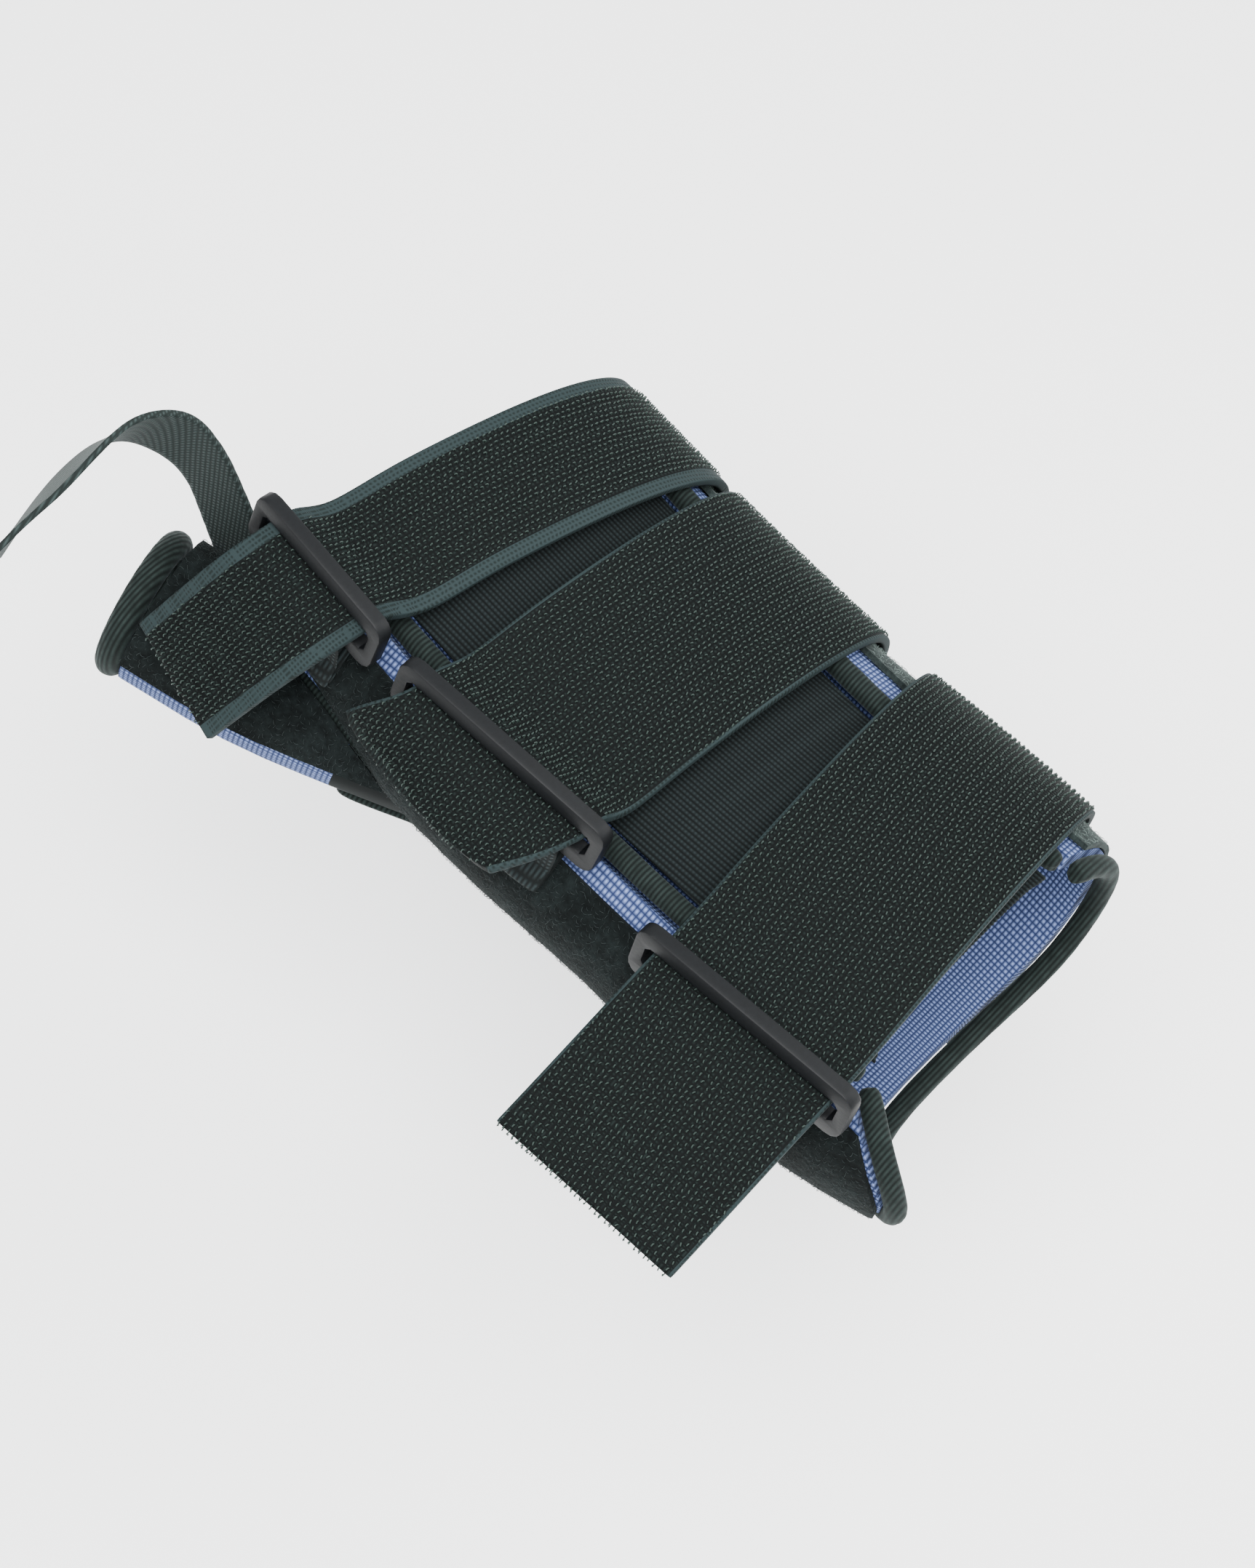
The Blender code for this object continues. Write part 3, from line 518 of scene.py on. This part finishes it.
def seam_tree(look):
    tree, given, sizes = tree_of("seam", Radius=SEAM_TAPE, Points=SEAM_POINTS)
    path = add(tree, "GeometryNodeMeshToCurve", {"Mesh": given["Geometry"]})
    smooth = add(tree, "GeometryNodeCurveSplineType", {"Curve": path.outputs[0]}, spline_type="BEZIER")
    soft = add(tree, "GeometryNodeCurveSetHandles", {"Curve": smooth.outputs[0]}, handle_type="AUTO")
    even = add(tree, "GeometryNodeResampleCurve", {"Curve": soft.outputs[0], "Count": given["Points"]})
    sockets = {"Resolution": SEAM_SIDES, "Radius": given["Radius"]}
    ring = add(tree, "GeometryNodeCurvePrimitiveCircle", sockets)
    tape = add(tree, "GeometryNodeCurveToMesh", {"Curve": even.outputs[0], "Profile Curve": ring.outputs[0]})
    ended(tree, tape.outputs[0], look)
    return tree, sizes


seam, seam_sizes = seam_tree(BINDING)
ridden(grown("thumb_seam", seam_mesh(), seam, seam_sizes), "binding")


# Keepers
# A short fold of woven webbing holds each ring's foot bar, its two ends sewn to the shell. The folds keep
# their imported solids, rounded once.
WEBBING_PITCH = 1.0 * MM


def woven(name, low, high, pitch):
    """Woven nylon webbing: a plain weave of dull yarns."""
    made, tree = begun(name)
    parts = add(tree, "ShaderNodeSeparateXYZ", {0: add(tree, "ShaderNodeTexCoord").outputs["Object"]})
    slope = add(tree, "ShaderNodeMath", {0: parts.outputs["X"], 1: parts.outputs["Z"]}, operation="SUBTRACT")
    sockets = {0: wave(tree, slope.outputs[0], pitch), 1: wave(tree, parts.outputs["Y"], pitch)}
    height = add(tree, "ShaderNodeMath", sockets, operation="MULTIPLY")
    finished(tree, height.outputs[0], low, high, relief=0.15 * MM, roughness=0.7, sheen=0.15)
    return made


WEBBING = woven("woven_nylon_webbing", "#0B0E0E", "#22292A", WEBBING_PITCH)
for number in (1, 2, 3):
    soften(f"keeper_{number}", WEBBING, levels=1)


# Rings
# Each strap turns through a rectangular ring of injection moulded plastic that stands on its foot bar. The
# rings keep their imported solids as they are.
PLASTIC_GRAIN = 1.2 / MM


def moulded_plastic():
    """Moulded black nylon: dull with a faint grain, paler where light grazes its long edge."""
    made, tree = begun("moulded_nylon")
    place = add(tree, "ShaderNodeTexCoord").outputs["Object"]
    grain = add(tree, "ShaderNodeTexNoise", {"Vector": place, "Scale": PLASTIC_GRAIN, "Detail": 2.0})
    finished(tree, grain.outputs[0], "#070809", "#0C0E10", relief=0.03 * MM, roughness=0.5, gloss=0.14)
    return made


PLASTIC = moulded_plastic()
for number in (1, 2, 3):
    soften(f"ring_{number}", PLASTIC)


# Straps
# Three straps of moulded hook tape are sewn on at the little finger's side, cross the back of the hand
# and turn through the rings. Their outer faces carry rows of small hooks; strap 1 has plain woven edges.
HOOK_ROW = 1.3 * MM
HOOK_LANE = 1.15 * MM
HOOK_HEIGHT = 0.62 * MM
HOOK_LEAN = 0.55 * MM
HOOK_RADIUS = 0.13 * MM
HOOK_SHIFT = 0.09 * MM
HOOK_RAY = 3 * MM
HOOK_ROOT = -0.2
HOOK_CROWN = 1.7
HOOK_TIP = 0.55
HOOK_SPIN = 0.5
HOOK_SIZES = (0.85, 1.1)
HOOK_SIZE_SEED = 4
HOOK_JITTER_SEED = 5
GROUND_WEAVE = 0.9 * MM
FAN = (-80.0, 205.0, 0.1)
FAN_REACH = 0.12
PAST_RINGS = -0.025
STRAP_JUMP = 5 * MM
RUN_STEP = 0.5 * MM
RUN_PAST = 12 * MM
EDGE_FACING = 0.6
STRAPS = (
    # number, half width, plain edge
    (1, 13.5 * MM, 2.8 * MM),
    (2, 20.6 * MM, 0.5 * MM),
    (3, 20.6 * MM, 0.5 * MM),
)


def strap_run(mesh):
    """A strap's middle line, met by rays fanned in its own plane, with its surface and its way across."""
    points = np.array([v.co for v in mesh.vertices])
    worn = points[points[:, 0] > PAST_RINGS]
    slope, start = np.polyfit(worn[:, 0], worn[:, 1], 1)
    across = Vector((-slope, 1, 0)).normalized()
    level = Vector((1, slope, 0)).normalized()
    hub = Vector((0, start, 0))
    surface = BVHTree.FromPolygons([v.co for v in mesh.vertices], [tuple(p.vertices) for p in mesh.polygons])
    line = []
    for degrees in np.arange(*FAN):
        way = level * math.cos(math.radians(degrees)) + Vector((0, 0, math.sin(math.radians(degrees))))
        hit = surface.ray_cast(hub + way * FAN_REACH, -way)[0]
        if hit:
            line.append(hit)
    line = np.array(line)
    jumps = np.nonzero(np.linalg.norm(np.diff(line, axis=0), axis=1) > STRAP_JUMP)[0] + 1
    line = max(np.split(line, jumps), key=len)
    line = line[:: int(RUN_STEP / np.linalg.norm(line[1] - line[0])) or 1]
    root = line[0] + (line[0] - line[1]) * RUN_PAST / np.linalg.norm(line[0] - line[1])
    tip = line[-1] + (line[-1] - line[-2]) * RUN_PAST / np.linalg.norm(line[-1] - line[-2])
    line = np.array([root, *line, tip])
    lengths = np.concatenate([[0], np.cumsum(np.linalg.norm(np.diff(line, axis=0), axis=1))])
    return SimpleNamespace(surface=surface, across=across, hub=hub, line=line, lengths=lengths)


def place_along(run, distance):
    """The point of a strap's middle line at a distance from its root."""
    return Vector([np.interp(distance, run.lengths, run.line[:, k]) for k in range(3)])


def unroll(mesh, run):
    """A UV map in metres: along the strap's middle line and across from it."""
    points = np.array([v.co for v in mesh.vertices])
    side = (points - np.array(run.hub)) @ np.array(run.across)
    flat = points - side[:, None] * np.array(run.across)
    nearest = [int(np.argmin(((run.line - p) ** 2).sum(axis=1))) for p in flat]
    layer = mesh.uv_layers.new(name="run")
    corners = np.empty(len(mesh.loops), np.int32)
    mesh.loops.foreach_get("vertex_index", corners)
    values = np.stack((run.lengths[nearest], side), axis=1)[corners]
    layer.data.foreach_set("uv", values.astype(np.float32).ravel())


def edge_finder(mesh, across):
    """A finder of a strap's long edges. How far each of its points lies from them is kept on its mesh."""
    rims = [tuple(p.vertices) for p in mesh.polygons if abs(p.normal.dot(across)) > EDGE_FACING]
    finder = BVHTree.FromPolygons([v.co for v in mesh.vertices], rims)
    layer = mesh.attributes.new("edge", "FLOAT", "POINT")
    layer.data.foreach_set("value", [finder.find_nearest(v.co)[3] for v in mesh.vertices])
    return finder


def hook_points(name, run, finder, half, plain):
    """Places for the hooks in staggered rows on a strap's outer face, with the ways out and along."""
    jitter = np.random.default_rng(HOOK_JITTER_SEED)
    lanes = int((half + RUN_PAST) / HOOK_LANE)
    places, outs, alongs = [], [], []
    for row in range(int(run.lengths[-1] / HOOK_ROW)):
        for lane in range(-lanes, lanes + 1):
            s = (row + 0.5 * (lane % 2) + 0.25) * HOOK_ROW
            shift = jitter.uniform(-HOOK_SHIFT, HOOK_SHIFT, 2)
            here = place_along(run, s + shift[0])
            along = (place_along(run, s + HOOK_ROW) - place_along(run, s - HOOK_ROW)).normalized()
            out = run.across.cross(along).normalized()
            start = here + run.across * (lane * HOOK_LANE + shift[1]) + out * HOOK_RAY
            hit, normal, _, _ = run.surface.ray_cast(start, -out, 2 * HOOK_RAY)
            if hit and normal.dot(out) > EDGE_FACING and finder.find_nearest(hit)[3] > plain:
                places.append(hit)
                outs.append(normal)
                alongs.append(along)
    mesh = bpy.data.meshes.new(name)
    mesh.from_pydata(places, [], [])
    for label, ways in (("out", outs), ("along", alongs)):
        layer = mesh.attributes.new(label, "FLOAT_VECTOR", "POINT")
        layer.data.foreach_set("vector", np.array(ways, np.float32).ravel())
    return mesh


def hook_tree(look):
    tree, given, sizes = tree_of("hooks", Height=HOOK_HEIGHT, Lean=HOOK_LEAN, Radius=HOOK_RADIUS, Seed=9)
    low = add(tree, "ShaderNodeMath", {0: given["Height"], 1: HOOK_ROOT}, operation="MULTIPLY")
    tall = add(tree, "ShaderNodeMath", {0: given["Height"], 1: HOOK_CROWN}, operation="MULTIPLY")
    tip = add(tree, "ShaderNodeMath", {0: given["Height"], 1: HOOK_TIP}, operation="MULTIPLY")
    start = add(tree, "ShaderNodeCombineXYZ", {"Z": low.outputs[0]})
    middle = add(tree, "ShaderNodeCombineXYZ", {"Z": tall.outputs[0]})
    end = add(tree, "ShaderNodeCombineXYZ", {"X": given["Lean"], "Z": tip.outputs[0]})
    bend = (start.outputs[0], middle.outputs[0], end.outputs[0])
    hook = fibre(tree, *bend, given["Radius"], sides=4, steps=5)
    out = add(tree, "GeometryNodeInputNamedAttribute", {"Name": "out"}, data_type="FLOAT_VECTOR")
    along = add(tree, "GeometryNodeInputNamedAttribute", {"Name": "along"}, data_type="FLOAT_VECTOR")
    stood = add(tree, "FunctionNodeAlignRotationToVector", {"Vector": out.outputs[0]}, axis="Z")
    sockets = {"Rotation": stood.outputs[0], "Vector": along.outputs[0]}
    faced = add(tree, "FunctionNodeAlignRotationToVector", sockets, axis="X", pivot_axis="Z")
    spun = turned_about(tree, faced.outputs[0], -HOOK_SPIN, HOOK_SPIN, given["Seed"])
    size = random_value(tree, *HOOK_SIZES, HOOK_SIZE_SEED)
    placed = {"Points": given["Geometry"], "Instance": hook, "Rotation": spun, "Scale": size}
    ended(tree, add(tree, "GeometryNodeInstanceOnPoints", placed).outputs[0], look)
    return tree, sizes


def hook_ground(name, plain):
    """Hook tape's woven nylon ground: almost black between the hooks, with a paler ribbed or cut edge."""
    made, tree = begun(name)
    parts = add(tree, "ShaderNodeSeparateXYZ", {0: add(tree, "ShaderNodeUVMap", uv_map="run").outputs[0]})
    rows = wave(tree, parts.outputs["X"], GROUND_WEAVE)
    sockets = {0: rows, 1: wave(tree, parts.outputs["Y"], GROUND_WEAVE)}
    weave = add(tree, "ShaderNodeMath", sockets, operation="MULTIPLY")
    side = add(tree, "ShaderNodeAttribute", attribute_name="edge")
    edge = add(tree, "ShaderNodeMath", {0: side.outputs["Fac"], 1: plain}, operation="LESS_THAN")
    colours = {"Factor": edge.outputs[0], 6: linear("#050707"), 7: linear("#1F2829")}
    ground = add(tree, "ShaderNodeMix", colours, data_type="RGBA")
    finished(tree, weave.outputs[0], ground.outputs[2], "#121817", 0.12 * MM, roughness=0.75, sheen=0.02)
    return made


HOOK_NYLON = filament("hook_monofilament", "#2A3531", 0.42)
for number, half, plain in STRAPS:
    name = f"strap_{number}"
    mesh = finer(name, 2, 0.75)
    run = strap_run(mesh)
    unroll(mesh, run)
    finder = edge_finder(mesh, run.across)
    mesh.materials.append(hook_ground(f"hook_tape_{number}", plain))
    tape = bpy.data.objects.new(f"hook_tape_{number}", mesh)
    bpy.context.scene.collection.objects.link(tape)
    hooks, hook_sizes = hook_tree(HOOK_NYLON)
    places = hook_points(name + "_hooks", run, finder, half, plain)
    field = grown(f"hooks_{number}", places, hooks, hook_sizes)
    ridden(tape, "hook_tape", name)
    ridden(field, "hook_tape")


# Thumb strap
# A narrow elastic strap is sewn on above the thumb's sheath. Its free end arches up and away, as it hangs
# before it is wrapped.
THUMB_WEAVE = 0.9 * MM
THUMB_WEB = woven("woven_elastic_strap", "#151A19", "#2D3635", THUMB_WEAVE)
thumb_web = bpy.data.objects.new("thumb_web", finer("thumb_strap", 2, 0.8))
thumb_web.data.materials.append(THUMB_WEB)
bpy.context.scene.collection.objects.link(thumb_web)
ridden(thumb_web, "strap_web", "thumb_strap")


# Studio
# A plain pale floor well below the held splint, a soft key light, a fill and a pale sky, and the camera at
# the photograph's viewing angle.
FLOOR_DROP = 0.10
FLOOR_SIDE = 6.0
PAPER_GRAIN = 40.0
SKY_STRENGTH = 2.0
LIGHTS = (
    # place, side of the light, power
    ((-0.35, -0.10, 0.95), 0.7, 30.0),
    ((0.70, -0.45, 0.60), 0.9, 13.0),
)

floor_mesh = bpy.data.meshes.new("floor")
half_floor = FLOOR_SIDE / 2
level = cad_box[0][2] - FLOOR_DROP
corners = [(x * half_floor, y * half_floor, level) for x, y in ((-1, -1), (1, -1), (1, 1), (-1, 1))]
floor_mesh.from_pydata(corners, [], [(0, 1, 2, 3)])
paper, paper_tree = begun("floor_paper")
sheet_grain = add(paper_tree, "ShaderNodeTexNoise", {"Scale": PAPER_GRAIN})
finished(paper_tree, sheet_grain.outputs[0], "#F6F6F5", "#FBFBFA", relief=0.02 * MM, roughness=0.9)
floor_mesh.materials.append(paper)
floor = bpy.data.objects.new("floor", floor_mesh)
bpy.context.scene.collection.objects.link(floor)

for number, (place, side, power) in enumerate(LIGHTS):
    lamp = bpy.data.lights.new(f"light_{number}", "AREA")
    lamp.size = side
    lamp.energy = power
    light = bpy.data.objects.new(f"light_{number}", lamp)
    light.location = place
    light.rotation_mode = "QUATERNION"
    light.rotation_quaternion = (-Vector(place)).to_track_quat("-Z", "Y")
    bpy.context.scene.collection.objects.link(light)

world = bpy.data.worlds.new("studio")
world.use_nodes = True
sky = world.node_tree.nodes["Background"]
sky.inputs["Color"].default_value = linear("#F4F6F8")
sky.inputs["Strength"].default_value = SKY_STRENGTH
bpy.context.scene.world = world

CAMERA_PLACE = (-0.2653, -0.1146, 0.5433)
CAMERA_RIGHT = (0.6726, -0.7253, 0.1469)
CAMERA_UP = (0.6136, 0.6575, 0.4372)
CAMERA_BACK = (-0.4137, -0.2039, 0.8873)
LENS = 74.2

lens = bpy.data.cameras.new("camera")
lens.lens = LENS
lens.sensor_width = 36
camera = bpy.data.objects.new("camera", lens)
turned = Matrix((CAMERA_RIGHT, CAMERA_UP, CAMERA_BACK)).transposed()
camera.matrix_world = Matrix.Translation(CAMERA_PLACE) @ turned.to_4x4()
bpy.context.scene.collection.objects.link(camera)
bpy.context.scene.camera = camera
